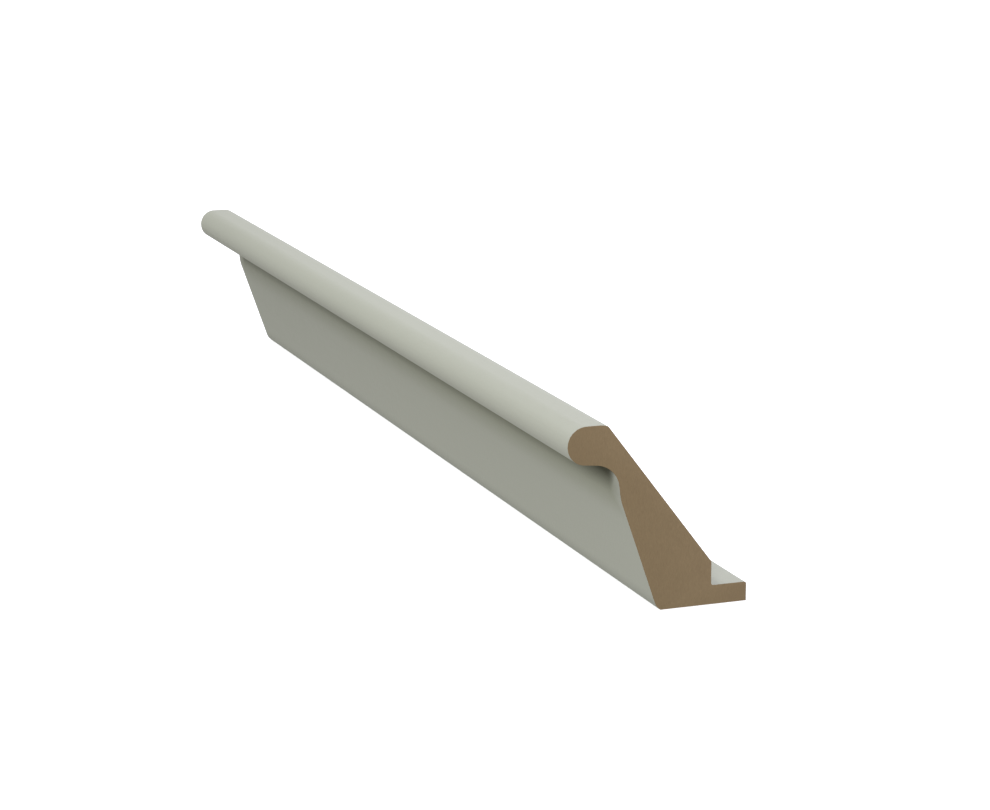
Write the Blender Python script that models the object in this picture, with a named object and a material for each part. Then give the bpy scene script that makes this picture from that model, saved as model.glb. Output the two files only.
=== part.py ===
"""A length of painted cornice moulding for the top edge of a cabinet, cut square at both ends.

The profile lies in the Y-Z plane and runs along X. Its show face is towards -Y, its fixing
tongue towards +Y, and the origin is at the centre of the underside. All lengths are in metres.
"""

from math import ceil, cos, radians, sin, tan

import bmesh
import bpy
from mathutils import Vector

# Overall sizes
LENGTH = 0.435
HEIGHT = 0.060
PROJECTION = 0.060  # front of the nose to the back of the tongue
BASE_DEPTH = 0.029  # the flat underside, from the toe to the back of the tongue

# Fixing tongue and the rebate over it
TONGUE_LENGTH = 0.012
TONGUE_THICKNESS = 0.0061
TONGUE_EDGE_RADIUS = 0.0007
REBATE_FILLET = 0.0009
REBATE_HEIGHT = 0.0077  # from the tongue's top face to the foot of the back slope

# Head: a round nose, a narrow flat on top and a rounded back edge
NOSE_RADIUS = 0.006
TOP_FLAT = 0.0042
BACK_EDGE_RADIUS = 0.009
HEAD_DEPTH = 0.0132  # front of the nose to the sharp back corner
UNDERSIDE_TILT = radians(5.5)  # how far the underside of the nose falls towards the back

# Cove under the nose, the throat below it and the shoulder where the front slope starts
COVE_RADIUS = 0.0083
THROAT_TILT = radians(7)  # from upright
SHOULDER_DROP = 0.024  # below the top
SHOULDER_SETBACK = 0.0175  # behind the front of the nose
SHOULDER_RADIUS = 0.015

# Toe: the front slope ends in a shallow curve that meets the underside at a corner
TOE_HEIGHT = 0.0026
TOE_SETBACK = 0.001  # how far the curve pulls the toe in from the line of the slope

ARC_STEP = radians(3)

# Places that follow from the sizes
TONGUE_BACK_Y = BASE_DEPTH / 2
TOE_Y = -BASE_DEPTH / 2
NOSE_Y = TONGUE_BACK_Y - PROJECTION
UP = Vector((0, 1))


def tilted_up(tilt):
    """The direction that rises along a line leaning forward by a tilt from upright."""
    return Vector((-sin(tilt), cos(tilt)))


def meeting_point(start, direction, other_start, other_direction):
    """Where two straight lines of the profile cross."""
    along = (other_start - start).cross(other_direction) / direction.cross(other_direction)
    return start + direction * along


def arc(centre, start, end):
    """Points of the shorter arc between two points, with both of them."""
    first = start - centre
    turn = first.angle(end - centre)
    side = 1 if first.cross(end - centre) > 0 else -1
    steps = max(2, ceil(turn / ARC_STEP))
    square = Vector((-first.y, first.x)) * side
    angles = [turn * i / steps for i in range(steps + 1)]
    return [centre + first * cos(a) + square * sin(a) for a in angles]


def rounded(before, corner, after, radius):
    """A corner rounded by an arc that touches both sides and stays within the shorter one."""
    to_before = (before - corner).normalized()
    to_after = (after - corner).normalized()
    half = to_before.angle(to_after) / 2
    room = min((before - corner).length, (after - corner).length)
    touch = min(radius / tan(half), room)
    centre = corner + (to_before + to_after).normalized() * touch / cos(half)
    return arc(centre, corner + to_before * touch, corner + to_after * touch)


def tongue_outline():
    """From the back of the underside, round the tongue and up the rebate wall."""
    below = Vector((TONGUE_BACK_Y, 0))
    tip = Vector((TONGUE_BACK_Y, TONGUE_THICKNESS))
    root = Vector((TONGUE_BACK_Y - TONGUE_LENGTH, TONGUE_THICKNESS))
    wall_top = root + UP * REBATE_HEIGHT
    edge = rounded(below, tip, root, TONGUE_EDGE_RADIUS)
    fillet = rounded(tip, root, wall_top, REBATE_FILLET)
    return [below, *edge, *fillet, wall_top]


def head_outline():
    """From the back corner, over the top and round the nose to the start of its underside."""
    flat_front = Vector((NOSE_Y + NOSE_RADIUS, HEIGHT))
    flat_back = flat_front + Vector((TOP_FLAT, 0))
    back_run = HEAD_DEPTH - NOSE_RADIUS - TOP_FLAT
    back_fall = BACK_EDGE_RADIUS - (BACK_EDGE_RADIUS**2 - back_run**2) ** 0.5
    back_corner = flat_back + Vector((back_run, -back_fall))
    back_edge = arc(flat_back - UP * BACK_EDGE_RADIUS, back_corner, flat_back)
    nose_centre = flat_front - UP * NOSE_RADIUS
    nose_front = nose_centre - Vector((NOSE_RADIUS, 0))
    nose_foot = nose_centre - tilted_up(-UNDERSIDE_TILT) * NOSE_RADIUS
    nose = arc(nose_centre, flat_front, nose_front) + arc(nose_centre, nose_front, nose_foot)[1:]
    return back_edge + nose


def front_outline(nose_foot):
    """From the underside of the nose, through cove, throat and shoulder, down to the toe."""
    underside = Vector((cos(UNDERSIDE_TILT), -sin(UNDERSIDE_TILT)))
    shoulder = Vector((NOSE_Y + SHOULDER_SETBACK, HEIGHT - SHOULDER_DROP))
    cove_corner = meeting_point(nose_foot, underside, shoulder, tilted_up(THROAT_TILT))
    toe = Vector((TOE_Y, 0))
    slope_foot = toe - Vector((TOE_SETBACK, 0))
    slope = (shoulder - slope_foot).normalized()
    toe_top = slope_foot + slope * (TOE_HEIGHT / slope.y)
    # The toe's curve leaves the slope without a kink, so its centre is square to the slope.
    inward = Vector((slope.y, -slope.x))
    to_toe = toe - toe_top
    toe_radius = to_toe.length_squared / (2 * to_toe.dot(inward))
    cove = rounded(nose_foot, cove_corner, shoulder, COVE_RADIUS)
    shoulder_curve = rounded(cove_corner, shoulder, slope_foot, SHOULDER_RADIUS)
    toe_curve = arc(toe_top + inward * toe_radius, toe_top, toe)
    return cove + shoulder_curve + toe_curve


def profile():
    """The whole outline: up over the tongue and the back, round the nose and down the front."""
    head = head_outline()
    return tongue_outline() + head + front_outline(head[-1])


def painted_board():
    material = bpy.data.materials.new("painted_board")
    material.use_nodes = True
    shader = material.node_tree.nodes["Principled BSDF"]
    shader.inputs["Base Color"].default_value = (0.44, 0.45, 0.38, 1)
    shader.inputs["Roughness"].default_value = 0.45
    shader.inputs["Metallic"].default_value = 0
    return material


def crown_moulding():
    """The profile as one end face, extruded along the length."""
    shape = bmesh.new()
    outline = [shape.verts.new((-LENGTH / 2, y, z)) for y, z in profile()]
    end = shape.faces.new(outline)
    extruded = bmesh.ops.extrude_face_region(shape, geom=[end])["geom"]
    other_end = [item for item in extruded if isinstance(item, bmesh.types.BMVert)]
    bmesh.ops.translate(shape, verts=other_end, vec=(LENGTH, 0, 0))
    bmesh.ops.recalc_face_normals(shape, faces=shape.faces)
    mesh = bpy.data.meshes.new("crown_moulding")
    shape.to_mesh(mesh)
    shape.free()
    mesh.materials.append(painted_board())
    mesh.shade_smooth()
    mesh.set_sharp_from_angle(angle=radians(20))
    moulding = bpy.data.objects.new("crown_moulding", mesh)
    bpy.context.collection.objects.link(moulding)
    return moulding


for left_over in list(bpy.data.objects):
    bpy.data.objects.remove(left_over)
crown_moulding()
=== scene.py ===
# %% [markdown]
# A length of crown moulding, of the kind that closes the top of a kitchen cabinet. It is one
# board of brown fibreboard: cutters gave it its profile, a spray line painted the long faces
# sage grey, and a saw cut it square, so each end shows the bare board. The solid from the
# design file fixes where it is and how big it is. This lesson gives it its finish.

# %% The frame that everything is built around
from math import ceil, cos, pi, radians, sin, tan

import bmesh
import bpy
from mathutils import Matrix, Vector


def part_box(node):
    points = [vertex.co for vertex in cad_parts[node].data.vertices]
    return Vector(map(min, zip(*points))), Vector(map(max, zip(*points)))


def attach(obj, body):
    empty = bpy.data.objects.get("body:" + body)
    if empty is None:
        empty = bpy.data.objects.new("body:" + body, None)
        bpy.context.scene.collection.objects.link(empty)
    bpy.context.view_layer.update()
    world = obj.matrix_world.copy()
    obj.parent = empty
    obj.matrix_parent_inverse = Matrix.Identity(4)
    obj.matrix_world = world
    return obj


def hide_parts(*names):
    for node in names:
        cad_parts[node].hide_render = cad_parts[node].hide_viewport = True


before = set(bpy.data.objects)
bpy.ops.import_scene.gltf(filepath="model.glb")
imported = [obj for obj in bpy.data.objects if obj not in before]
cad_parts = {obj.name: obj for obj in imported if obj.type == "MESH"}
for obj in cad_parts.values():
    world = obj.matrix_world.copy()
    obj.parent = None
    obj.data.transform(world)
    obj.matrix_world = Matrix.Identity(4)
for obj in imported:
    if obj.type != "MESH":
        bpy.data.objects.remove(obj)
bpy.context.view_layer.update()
low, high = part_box("crown_moulding")
MM = 0.001
LENGTH = high.x - low.x
print(f"frame: {LENGTH / MM:.0f} mm long, {(high.z - low.z) / MM:.0f} mm high")

# %% [markdown]
# The camera comes first, because it decides which faces matter most. The picture looks down
# the length from the near end: mostly along the moulding, a little from the front and a little
# from above. A long lens keeps the far end almost as tall as the near one. The bottom front
# corner of the near end is a sharp point that is easy to find in a picture, so the camera is
# placed by it: turn the camera first, then back off until that corner lands on its pixel.

# %% Camera
PICTURE = (990, 810)
TOE_PIXEL = (660.4, 609.9)
AZIMUTH = radians(69.63)
ELEVATION = radians(13.11)
LENS_MM = 102.1
SENSOR_MM = 36
TOE_DEPTH = 0.863
NEAREST = 10 * MM

back_off = Vector((sin(AZIMUTH) * cos(ELEVATION), -cos(AZIMUTH) * cos(ELEVATION), sin(ELEVATION)))
aim = (-back_off).to_track_quat("-Z", "Y")
pixels_across = LENS_MM / SENSOR_MM * PICTURE[0]
toe = Vector((high.x, -high.y, low.z))
to_toe = aim @ Vector((
    (TOE_PIXEL[0] - PICTURE[0] / 2) / pixels_across,
    (PICTURE[1] / 2 - TOE_PIXEL[1]) / pixels_across,
    -1,
))
bpy.ops.object.camera_add(location=toe - to_toe * TOE_DEPTH, rotation=aim.to_euler())
camera = bpy.context.object
camera.data.lens = LENS_MM
camera.data.sensor_width = SENSOR_MM
camera.data.clip_start = NEAREST
bpy.context.scene.camera = camera
print("camera at", [round(v, 3) for v in camera.location])

# %% [markdown]
# A moulding is drawn by its profile: a set of flats and rounds that is the same all along the
# length. The sizes below are the cutter sizes a joiner would read off the end with a rule and
# a radius gauge. The overall sizes come from the frame, so the piece fills it exactly.

# %% Sizes of the profile
TONGUE_LENGTH = 12 * MM
TONGUE_THICKNESS = 6.1 * MM
TONGUE_EDGE_RADIUS = 0.7 * MM
REBATE_FILLET = 0.9 * MM
REBATE_HEIGHT = 7.7 * MM
NOSE_RADIUS = 6 * MM
TOP_FLAT = 4.2 * MM
BACK_EDGE_RADIUS = 9 * MM
HEAD_DEPTH = 13.2 * MM
UNDERSIDE_TILT = radians(5.5)
COVE_RADIUS = 8.3 * MM
THROAT_TILT = radians(7)
SHOULDER_DROP = 24 * MM
SHOULDER_SETBACK = 17.5 * MM
SHOULDER_RADIUS = 15 * MM
TOE_HEIGHT = 2.6 * MM
TOE_SETBACK = 1 * MM

TOP_Z = high.z
TONGUE_BACK_Y = high.y
TOE_Y = -high.y  # the frame's origin is the middle of the underside
NOSE_Y = low.y
depth = TONGUE_BACK_Y - NOSE_Y
seat = TONGUE_BACK_Y - TOE_Y
print(f"profile: {depth / MM:.0f} mm deep on a seat of {seat / MM:.0f} mm")

# %% [markdown]
# The piece could be made by extruding a drawn outline, but tracing it with one long edge
# teaches more: a flat plane is the underside, and its back edge is pulled round the profile,
# straight for each flat and spun about a centre for each round, until it is back at the toe.
# Three small helpers do that. They read where the edge is now from the mesh itself.

# %% Helpers that carry the open edge along
ARC_STEP = radians(2.5)


def point(y, z):
    """A place in the profile."""
    return Vector((y, z))


def open_edge():
    """Where the selected long edge is now, in the profile."""
    shape = bmesh.from_edit_mesh(bpy.context.edit_object.data)
    corner = next(v for v in shape.verts if v.select)
    return point(corner.co.y, corner.co.z)


def straight_to(end):
    step = end - open_edge()
    bpy.ops.mesh.extrude_region_move(TRANSFORM_OT_translate={"value": (0, step.x, step.y)})


def round_to(end, centre):
    start = open_edge() - centre
    turn = start.angle(end - centre)
    side = 1 if start.cross(end - centre) > 0 else -1
    bpy.ops.mesh.spin(
        steps=max(2, ceil(turn / ARC_STEP)), angle=turn, center=(0, *centre), axis=(-side, 0, 0)
    )


print(f"rounds: a quarter turn takes {ceil(pi / 2 / ARC_STEP)} steps")

# %% [markdown]
# An operator works on what is selected, so the next helper selects edges by a test on each one.
# The tests compare places, and places worked out in two ways differ in their last digits, so
# two of them count as touching when they are within a hundredth of a millimetre.

# %% Picking edges
TOUCHING = 0.01 * MM


def select_edges(wanted):
    """Selects the edges for which wanted(edge) is true, and nothing else."""
    bpy.ops.mesh.select_mode(type="EDGE")
    bpy.ops.mesh.select_all(action="DESELECT")
    shape = bmesh.from_edit_mesh(bpy.context.edit_object.data)
    for edge in shape.edges:
        edge.select_set(wanted(edge))
    bmesh.update_edit_mesh(bpy.context.edit_object.data)
    return sum(edge.select for edge in shape.edges)


print(f"edges touch within {TOUCHING / MM:.2f} mm")

# %% [markdown]
# A round between two straight cuts touches both of them. This helper finds the two places
# where a round of a given radius touches, and its centre, from the corner the cuts would make.

# %% Where a round touches
def leaning(tilt):
    """The upward direction that leans forward by a tilt."""
    return point(-sin(tilt), cos(tilt))


def crossing(start, direction, other_start, other_direction):
    along = (other_start - start).cross(other_direction) / direction.cross(other_direction)
    return start + direction * along


def round_between(before, corner, after, radius):
    to_before, to_after = (before - corner).normalized(), (after - corner).normalized()
    half = to_before.angle(to_after) / 2
    touch = radius / tan(half)
    centre = corner + (to_before + to_after).normalized() * radius / sin(half)
    return corner + to_before * touch, corner + to_after * touch, centre


first_touch = round_between(point(0, 9), point(0, 0), point(9, 0), 2)[0]
print(f"a round of 2 in a square corner touches {first_touch.length:.0f} from it")

# %% [markdown]
# First the underside, a plane from toe to tongue. Then its back edge goes up the tongue, over
# its eased corner, along its top, round the small fillet that the rebate cutter leaves and up
# the rebate wall.

# %% Underside and tongue
bpy.ops.object.select_all(action="DESELECT")
bpy.ops.mesh.primitive_plane_add(size=1, location=(0, 0, low.z))
moulding = bpy.context.object
moulding.name = "painted_moulding"
moulding.scale = (LENGTH, seat, 1)
bpy.ops.object.transform_apply(location=True, rotation=True, scale=True)
bpy.ops.object.mode_set(mode="EDIT")
select_edges(lambda edge: all(v.co.y > TONGUE_BACK_Y - TOUCHING for v in edge.verts))

below = point(TONGUE_BACK_Y, 0)
tip = point(TONGUE_BACK_Y, TONGUE_THICKNESS)
root = point(TONGUE_BACK_Y - TONGUE_LENGTH, TONGUE_THICKNESS)
wall_top = root + point(0, REBATE_HEIGHT)
for start, end, centre in (
    round_between(below, tip, root, TONGUE_EDGE_RADIUS),
    round_between(tip, root, wall_top, REBATE_FILLET),
):
    straight_to(start)
    round_to(end, centre)
straight_to(wall_top)
print("up the rebate wall to", [round(v / MM, 2) for v in open_edge()])

# %% [markdown]
# The back is one straight slope, so that the board leans over the cabinet without filling the
# space behind it. The head is a narrow flat with a rounded back edge and a half-round nose,
# which is where the light catches.

# %% Back slope and head
flat_front = point(NOSE_Y + NOSE_RADIUS, TOP_Z)
flat_back = flat_front + point(TOP_FLAT, 0)
back_run = HEAD_DEPTH - NOSE_RADIUS - TOP_FLAT
back_edge_centre = flat_back - point(0, BACK_EDGE_RADIUS)
back_corner = back_edge_centre + point(back_run, (BACK_EDGE_RADIUS**2 - back_run**2) ** 0.5)
nose_centre = flat_front - point(0, NOSE_RADIUS)
nose_foot = nose_centre - leaning(-UNDERSIDE_TILT) * NOSE_RADIUS

straight_to(back_corner)
round_to(flat_back, back_edge_centre)
straight_to(flat_front)
round_to(nose_foot, nose_centre)
print("round the nose to", [round(v / MM, 2) for v in open_edge()])

# %% [markdown]
# Under the nose a cove throws a line of shadow. Below it come the throat, a soft shoulder and
# the long front slope, and at the toe a shallow curve pulls the slope in to the underside.

# %% Cove, throat, shoulder, slope and toe
shoulder = point(NOSE_Y + SHOULDER_SETBACK, TOP_Z - SHOULDER_DROP)
underside = point(cos(UNDERSIDE_TILT), -sin(UNDERSIDE_TILT))
cove_corner = crossing(nose_foot, underside, shoulder, leaning(THROAT_TILT))
toe_corner = point(TOE_Y, low.z)
slope_foot = toe_corner - point(TOE_SETBACK, 0)
slope = (shoulder - slope_foot).normalized()
toe_top = slope_foot + slope * (TOE_HEIGHT / slope.y)
inward = point(slope.y, -slope.x)
to_corner = toe_corner - toe_top
toe_radius = to_corner.length_squared / (2 * to_corner.dot(inward))

for start, end, centre in (
    round_between(nose_foot, cove_corner, shoulder, COVE_RADIUS),
    round_between(cove_corner, shoulder, slope_foot, SHOULDER_RADIUS),
):
    straight_to(start)
    round_to(end, centre)
straight_to(toe_top)
round_to(toe_corner, toe_top + inward * toe_radius)
bpy.ops.mesh.select_all(action="SELECT")
bpy.ops.mesh.remove_doubles(threshold=TOUCHING)
print("closed at the toe:", len(moulding.data.polygons), "faces before the ends")

# %% [markdown]
# Paint can't hold on a razor edge: it pulls back and leaves every long corner slightly round.
# A small bevel on each sharp long edge does the same, and gives the corners a thin highlight.

# %% Corners softened by the paint
PAINT_ROUND = 0.13 * MM
SHARP = radians(24)

softened = select_edges(
    lambda edge: len(edge.link_faces) == 2 and edge.calc_face_angle() > SHARP
)
bpy.ops.mesh.bevel(offset=PAINT_ROUND, segments=3, affect="EDGES")
print("long corners softened:", softened)

# %% [markdown]
# A face closes each open end. The saw leaves a burr there, and a light rub with sandpaper takes
# it off and bares a hair of board along the edge. A very small bevel round both ends is that
# rubbed edge. Its faces lean away from the end, so the normals have to point outwards first.

# %% Sawn ends
SAND_WIDTH = 0.1 * MM


def at_end(edge, side):
    return all(abs(v.co.x - side * LENGTH / 2) < TOUCHING for v in edge.verts)


for side in (-1, 1):
    select_edges(lambda edge: at_end(edge, side))
    bpy.ops.mesh.edge_face_add()
bpy.ops.mesh.select_all(action="SELECT")
bpy.ops.mesh.normals_make_consistent(inside=False)
rubbed = select_edges(lambda edge: at_end(edge, -1) or at_end(edge, 1))
bpy.ops.mesh.bevel(offset=SAND_WIDTH, segments=2, affect="EDGES")
print("edges rubbed down:", rubbed)

# %% [markdown]
# Two finishes meet on one piece, as they do on the real board: paint on everything that the
# spray reached, and bare board on the ends and their rubbed edges. The long faces all lie
# along X, so a face belongs to an end when its normal leans towards X at all.

# %% Faces and their finishes
LEAST_LEAN = 0.1
SMOOTH_BELOW = radians(30)


def select_faces(wanted):
    """Selects the faces for which wanted(face) is true, and nothing else."""
    bpy.ops.mesh.select_mode(type="FACE")
    bpy.ops.mesh.select_all(action="DESELECT")
    shape = bmesh.from_edit_mesh(bpy.context.edit_object.data)
    for face in shape.faces:
        face.select_set(wanted(face))
    bmesh.update_edit_mesh(bpy.context.edit_object.data)
    return sum(face.select for face in shape.faces)


paint = bpy.data.materials.new("sage_satin_paint")
board = bpy.data.materials.new("bare_fibreboard")
moulding.data.materials.append(paint)
moulding.data.materials.append(board)
bare = select_faces(lambda face: abs(face.normal.x) > LEAST_LEAN)
moulding.active_material_index = 1
bpy.ops.object.material_slot_assign()
bpy.ops.object.mode_set(mode="OBJECT")
bpy.ops.object.shade_smooth_by_angle(angle=SMOOTH_BELOW)
print("bare faces:", bare)

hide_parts("crown_moulding")
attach(moulding, "root")

# %% [markdown]
# A finish is a small sum of patterns. Writing it with Blender's node editor takes dozens of
# boxes, so this wrapper lets a socket be used in ordinary sums: each sum adds its Math node.

# %% Sums with sockets
class Wire:
    """One output socket of a material, which can be used in sums."""

    def __init__(self, socket):
        self.socket = socket

    def node(self, kind, settings, sockets, out=0):
        """Adds any other node: its settings first, then values or wires for its sockets."""
        tree = self.socket.id_data
        made = tree.nodes.new(kind)
        for name, value in settings.items():
            setattr(made, name, value)
        for name, value in sockets.items():
            if isinstance(value, Wire):
                tree.links.new(value.socket, made.inputs[name])
            else:
                made.inputs[name].default_value = value
        return Wire(made.outputs[out])

    def math(self, operation, first, second=0.0):
        return self.node("ShaderNodeMath", {"operation": operation}, {0: first, 1: second})

    def __add__(self, other):
        return self.math("ADD", self, other)

    def __radd__(self, other):
        return self.math("ADD", other, self)

    def __sub__(self, other):
        return self.math("SUBTRACT", self, other)

    def __rsub__(self, other):
        return self.math("SUBTRACT", other, self)

    def __mul__(self, other):
        return self.math("MULTIPLY", self, other)

    def __rmul__(self, other):
        return self.math("MULTIPLY", other, self)

    def __abs__(self):
        return self.math("ABSOLUTE", self)

    def __lt__(self, other):
        return self.math("LESS_THAN", self, other)

    def at_least(self, other):
        """The larger of this and another value."""
        return self.math("MAXIMUM", self, other)


def place_on(material):
    """A wire for where a point is on the piece, in metres."""
    material.use_nodes = True
    coordinates = material.node_tree.nodes.new("ShaderNodeTexCoord")
    return Wire(coordinates.outputs["Object"])


print("wires can be added, subtracted, multiplied and compared")

# %% [markdown]
# A few patterns come back in both finishes, so each gets a name. Patches are soft random spots
# of about one size, which can be drawn out along an axis by a stretch. A blend goes from one
# colour to another. A ramp turns a range of values, such as a distance, into a share of 0 to 1.

# %% Patches, blends and ramps
def patches(place, size, stretch=(1, 1, 1), detail=2.0):
    """Random spots about one size across, made longer along an axis by a stretch over 1."""
    drawn = place.node(
        "ShaderNodeVectorMath", {"operation": "DIVIDE"}, {0: place, 1: stretch}
    )
    return place.node(
        "ShaderNodeTexNoise", {}, {"Vector": drawn, "Scale": 1 / size, "Detail": detail}
    )


def blend(share, first, second):
    """A colour that goes from the first to the second as the share goes from 0 to 1."""
    return share.node("ShaderNodeMix", {"data_type": "RGBA"}, {0: share, 6: first, 7: second}, 2)


def ramp(value, start, end):
    """A soft rise from 0 at one value to 1 at another."""
    return value.node(
        "ShaderNodeMapRange",
        {"interpolation_type": "SMOOTHSTEP"},
        {"Value": value, "From Min": start, "From Max": end},
    )


print("a ramp is", [round(s * s * (3 - 2 * s), 2) for s in (0, 0.25, 0.5, 0.75, 1)])

# %% [markdown]
# Painted shade darkens the cove and the saw turns about the axle of its blade, so both finishes
# need the distance from a line that runs along X through one point of the profile. The place
# loses its X first, and what is left is a plain distance to that point.

# %% Distances
def axes(place):
    """The three coordinates of a place, as wires."""
    return [place.node("ShaderNodeSeparateXYZ", {}, {0: place}, out) for out in range(3)]


def from_line(place, through):
    """The distance from a line along X that passes through a point of the profile."""
    in_profile = place.node(
        "ShaderNodeVectorMath", {"operation": "MULTIPLY"}, {0: place, 1: (0, 1, 1)}
    )
    return place.node(
        "ShaderNodeVectorMath", {"operation": "DISTANCE"}, {0: in_profile, 1: (0, *through)}, 1
    )


print("the cove's corner is at", [round(v / MM, 1) for v in cove_corner])

# %% [markdown]
# The colour is a light sage grey. No sprayed coat is one colour all over: it is a touch paler
# where it went on thicker, in drifts as long as a hand and in spots of a few millimetres.
# Two colours a small step apart and a sum of patches between them give that.

# %% Paint: its colour
SAGE_THIN = (0.420, 0.432, 0.348, 1)
SAGE_FULL = (0.456, 0.468, 0.380, 1)
DRIFT_SIZE = 90 * MM
SPOT_SIZE = 5 * MM

place = place_on(paint)
drifts = patches(place, DRIFT_SIZE, (3, 1, 1))
spots = patches(place, SPOT_SIZE)
sage = blend(0.7 * drifts + 0.3 * spots, SAGE_THIN, SAGE_FULL)
print(f"paint: drifts of {DRIFT_SIZE / MM:.0f} mm and spots of {SPOT_SIZE / MM:.0f} mm")

# %% [markdown]
# The cove is darkened with painted shade: its colour is made much darker than the light alone
# makes it there. Each point's distance from the deepest line of the cove decides. That line lies
# a little under half of the way from the cove's corner to the foot of the nose. The drifts shift
# the distance by part of a millimetre, so the edge of the painted shade is not ruler-straight.

# %% Paint: distance from the cove
TOWARDS_NOSE = 0.4
UNEVEN = 2 * MM

# the distance that sets the painted shade in the cove
deepest = cove_corner.lerp(nose_foot, TOWARDS_NOSE)
from_cove = from_line(place, deepest) + UNEVEN * (drifts - 0.5)
print("paint: the cove is deepest at", [round(v / MM, 1) for v in deepest])

# %% [markdown]
# The nose above its foot and the back of the board are as near to that line as the throat is, but
# they get no painted shade. Height leaves the nose out and depth leaves the back out, both with a
# soft edge.

# %% Paint: faces without painted shade
UNSHADED_EDGE = 1.5 * MM

x, y, z = axes(place)
on_nose = ramp(z, nose_foot.y, nose_foot.y + UNSHADED_EDGE)
on_back = ramp(y, shoulder.x + UNSHADED_EDGE, shoulder.x + 2 * UNSHADED_EDGE)
spared = on_nose.at_least(on_back)
print(f"paint: clean from {(nose_foot.y + UNSHADED_EDGE) / MM:.1f} mm up")

# %% [markdown]
# The painted shade has two parts: a wide, warm, soft shade that fades out below the shoulder, and
# a dark line close to the cove. Over the last few millimetres at each end it gives way to painted
# light, so the soft shade is gone there and the dark line is narrower.

# %% Paint: the soft painted shade and the dark painted line
# colours of painted shade in the cove: a soft warm shade and a near-black line
SAGE_SOFT_SHADE = (0.340, 0.350, 0.256, 1)
SAGE_DEEP_SHADE = (0.036, 0.036, 0.010, 1)
SOFT_SHADE_FROM = 10 * MM
SOFT_SHADE_TO = 22 * MM
DARK_FROM = 5 * MM
DARK_TO = 13 * MM
END_DARK_FROM = 3 * MM
END_DARK_TO = 6 * MM
END_LIGHT_REACH = 9 * MM

# painted light near each sawn end: the painted shade in the cove is fainter and narrower there
from_end = LENGTH / 2 - abs(x)
away_from_end = ramp(from_end, 0, END_LIGHT_REACH)
out_of_soft_shade = ramp(from_cove, SOFT_SHADE_FROM, SOFT_SHADE_TO).at_least(spared).at_least(1 - away_from_end)
sage = blend(out_of_soft_shade, SAGE_SOFT_SHADE, sage)

dark_from = END_DARK_FROM + (DARK_FROM - END_DARK_FROM) * away_from_end
dark_to = END_DARK_TO + (DARK_TO - END_DARK_TO) * away_from_end
unshaded = ramp(from_cove, dark_from, dark_to).at_least(spared)
sage = blend(unshaded, SAGE_DEEP_SHADE, sage)
print(f"paint: dark to {DARK_TO / MM:.0f} mm from the cove, haze to {SOFT_SHADE_TO / MM:.0f} mm")

# %% [markdown]
# The last few millimetres above the underside are painted a shade darker too: painted shade on
# the toe, where it turns down from the light.

# %% Paint: painted shade along the bottom edge
# a darker colour towards the underside, as painted shade
SAGE_SHADED_BOTTOM = (0.350, 0.362, 0.290, 1)
BOTTOM_SHADE_HEIGHT = 6 * MM

sage = blend(ramp(z, 0, BOTTOM_SHADE_HEIGHT), SAGE_SHADED_BOTTOM, sage)
print(f"paint: darkened below {BOTTOM_SHADE_HEIGHT / MM:.0f} mm")

# %% [markdown]
# The saw breaks tiny chips out of the paint where it leaves the cut. A point is chipped when
# it is nearer to an end than a ragged limit, and board shows through there. The limit is below
# zero for most of the edge, and a few tenths of a millimetre where a patch peaks.

# %% Paint: chips along the saw cut
BOARD_MID = (0.233, 0.166, 0.082, 1)
CHIP_REACH = 2 * MM
CHIP_SIZE = 0.5 * MM
UNBROKEN = 0.53

ragged = CHIP_REACH * (patches(place, CHIP_SIZE) - UNBROKEN)
chipped = from_end < ragged
paint_colour = blend(chipped, sage, BOARD_MID)
print(f"paint: chips of {CHIP_SIZE / MM:.1f} mm")

# %% [markdown]
# Sprayed paint dries with a fine orange peel, little mounds a millimetre or two across, over
# faint ripples that the turning cutters left along the board. Both are far too small to model,
# so they are heights for a Bump node, and each chip is a step down to the board.

# %% Paint: its surface
PEEL_SIZE = 1.6 * MM
RIPPLE_SIZE = 1.1 * MM
PAINT_RELIEF = 0.08 * MM

peel = patches(place, PEEL_SIZE, detail=1.0)
ripples = patches(place, RIPPLE_SIZE, (60, 1, 1), detail=1.0)
height = peel + 0.3 * ripples - chipped
surface = place.node(
    "ShaderNodeBump", {}, {"Strength": 1.0, "Distance": PAINT_RELIEF, "Height": height}
)
print(f"paint: peel of {PEEL_SIZE / MM:.1f} mm, {PAINT_RELIEF / MM:.2f} mm high")

# %% [markdown]
# Satin paint is halfway between gloss and flat. Its roughness varies with the spots, because a
# thin coat dries flatter, and with the ripples. Bare board and the painted shade in the cove are
# much rougher. The small function that joins all of it to the shader serves both finishes.

# %% Paint: its roughness
SATIN = 0.43
FLATTENED = 0.3

# rougher where the cove has its painted shade
roughness = (
    SATIN + 0.1 * spots + 0.06 * ripples + FLATTENED * chipped + FLATTENED * (1 - unshaded)
)


def finish(material, colour, roughness, surface):
    """Joins a colour, a roughness and a surface to a material's shader."""
    inputs = material.node_tree.nodes["Principled BSDF"].inputs
    for name, wire in (("Base Color", colour), ("Roughness", roughness), ("Normal", surface)):
        material.node_tree.links.new(wire.socket, inputs[name])


finish(paint, paint_colour, roughness, surface)
print("paint joined:", len(paint.node_tree.nodes), "nodes")

# %% [markdown]
# The board is wood boiled down to fibres and pressed with glue. The fibres lie flat in the
# sheet, so on a cut across the sheet they show as short fine dashes, some pale and some dark,
# all one way. Seen from a step away they melt into one even brown.

# %% Board: its colour
FIBRE_DARK = (0.168, 0.114, 0.051, 1)
FIBRE_PALE = (0.300, 0.220, 0.114, 1)
FIBRE_SIZE = 0.25 * MM
FLECK_SIZE = 0.7 * MM
CLOUD_SIZE = 12 * MM

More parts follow.
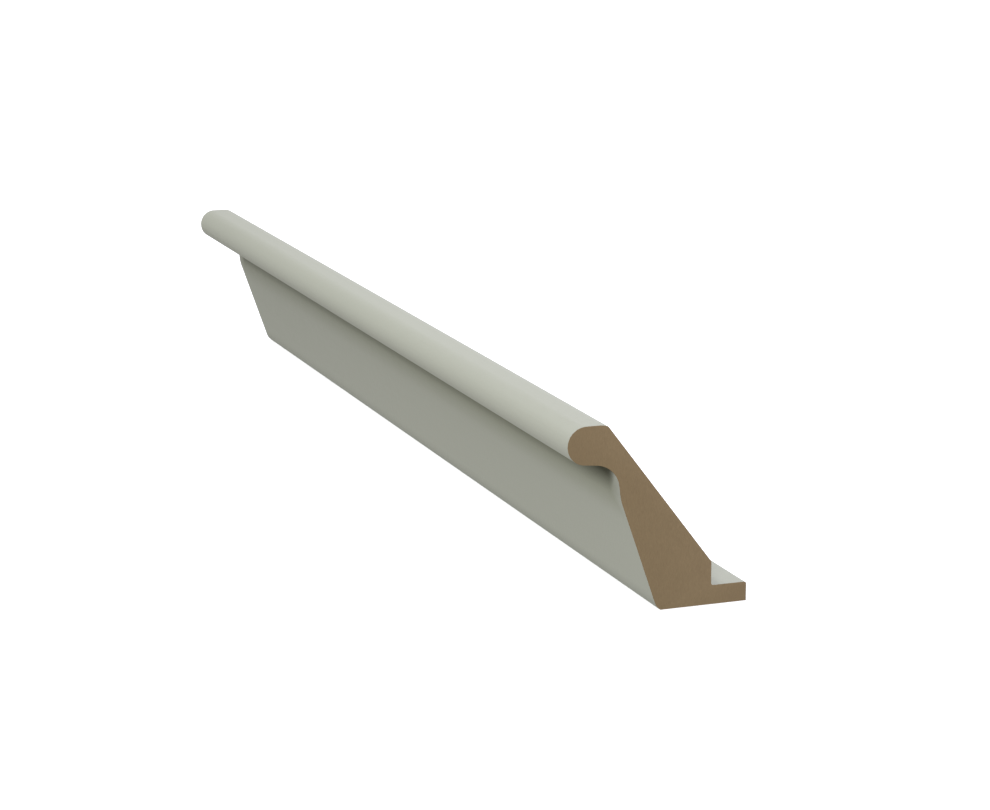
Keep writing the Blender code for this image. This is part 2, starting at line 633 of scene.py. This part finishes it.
place = place_on(board)
fibres = patches(place, FIBRE_SIZE, (1, 1, 5), detail=3.0)
flecks = patches(place, FLECK_SIZE, (1, 1, 3))
clouds = patches(place, CLOUD_SIZE)
brown = blend(0.5 * fibres + 0.3 * flecks + 0.2 * clouds, FIBRE_DARK, FIBRE_PALE)
print(f"board: fibres {FIBRE_SIZE / MM:.2f} mm thick and {5 * FIBRE_SIZE / MM:.2f} mm long")

# %% [markdown]
# Pressing packs the fibres tighter near the sheet's two faces, so the cut is slightly darker
# towards the front and the back of the profile. The distance from the middle of the sheet,
# along Y, darkens it by a few parts in a hundred.

# %% Board: denser towards the faces of the sheet
DENSE = (0.205, 0.144, 0.070, 1)
DENSE_SHARE = 0.35
SHEET_MIDDLE = (NOSE_Y + TONGUE_BACK_Y) / 2
SHEET_HALF = depth / 2
DENSE_FROM = 0.55 * SHEET_HALF

across = axes(place)[1]
packed = DENSE_SHARE * ramp(abs(across - SHEET_MIDDLE), DENSE_FROM, SHEET_HALF)
board_colour = blend(packed, brown, DENSE)
print(f"board: denser from {DENSE_FROM / MM:.0f} mm off the middle of the sheet")

# %% [markdown]
# A circular saw leaves shallow arcs, one for each tooth, about a millimetre apart. They are
# rings about the blade's axle, which was below and behind the board. A sine of the distance
# from the axle makes them, and the fibres, which stand out more, roughen them.

# %% Board: its surface
BLADE_AXLE = point(0.09, -0.04)
TOOTH_STEP = 0.9 * MM
ARC_HEIGHT = 0.12
SAW_RELIEF = 0.05 * MM
BARE_ROUGHNESS = 0.78

turns = from_line(place, BLADE_AXLE) * (2 * pi / TOOTH_STEP)
height = ARC_HEIGHT * turns.math("SINE", turns) + fibres
surface = place.node(
    "ShaderNodeBump", {}, {"Strength": 1.0, "Distance": SAW_RELIEF, "Height": height}
)
finish(board, board_colour, BARE_ROUGHNESS + 0.15 * flecks, surface)
print("board joined:", len(board.node_tree.nodes), "nodes")

# %% [markdown]
# The stage is a white floor that glows a little, as a light table does for catalogue pictures.
# A real one would also throw light up into the cove and wash out the profile, so here the floor
# neither lights the piece nor blocks the light from below it. It is so wide that its far edge
# stays out of the picture when the camera is low.

# %% White floor
FLOOR_SIZE = 80
FLOOR_GLOW = 0.6
OPAL = (0.9, 0.9, 0.9, 1)
WHITE = (1, 1, 1, 1)

bpy.ops.object.select_all(action="DESELECT")
bpy.ops.mesh.primitive_plane_add(size=FLOOR_SIZE, location=(0, 0, low.z))
floor = bpy.context.object
floor.name = "light_table"
table_top = bpy.data.materials.new("opal_table_top")
table_top.use_nodes = True
opal = table_top.node_tree.nodes["Principled BSDF"].inputs
opal["Base Color"].default_value = OPAL
opal["Roughness"].default_value = 0.9
opal["Emission Color"].default_value = WHITE
opal["Emission Strength"].default_value = FLOOR_GLOW
floor.data.materials.append(table_top)
floor.visible_diffuse = False
floor.visible_glossy = False
floor.visible_shadow = False
print("floor:", FLOOR_SIZE, "m")

# %% [markdown]
# The light is that of a white tent: soft from everywhere, which the world gives, and three
# softboxes that shape it. The key hangs high in front and makes the top and the nose brighter
# than the slope. One behind brightens the top's back edge. A small one near the sawn end
# makes the near end brighter than the far one. All three are a little cooler than the tent.

# %% Tent and softboxes
TENT = 0.504
LIT_PLACE = Vector((0.05, -0.01, 0.03))  # in the piece, a little towards the near end

world = bpy.data.worlds.new("white_tent")
bpy.context.scene.world = world
world.use_nodes = True
world.node_tree.nodes["Background"].inputs["Color"].default_value = WHITE
world.node_tree.nodes["Background"].inputs["Strength"].default_value = TENT


def softbox(name, azimuth, elevation, distance, width, power, colour):
    """A square light that faces the piece from a direction: 0 is in front, 90 is the near end."""
    side, rise = radians(azimuth), radians(elevation)
    way = Vector((sin(side) * cos(rise), -cos(side) * cos(rise), sin(rise)))
    bpy.ops.object.light_add(
        type="AREA",
        location=LIT_PLACE + way * distance,
        rotation=way.to_track_quat("Z", "Y").to_euler(),
    )
    lamp = bpy.context.object
    lamp.name = name
    lamp.data.size = width
    lamp.data.energy = power
    lamp.data.color = colour


softbox("key", -15, 55, distance=1.3, width=0.9, power=9.9, colour=(0.97, 0.98, 1.05))
softbox("rim", 180, 35, distance=1.3, width=0.9, power=12.4, colour=(0.98, 0.96, 1.22))
softbox("end_fill", 75, 2, distance=1.0, width=0.7, power=3.4, colour=(0.98, 0.97, 1.12))
bpy.context.scene.view_settings.view_transform = "Standard"
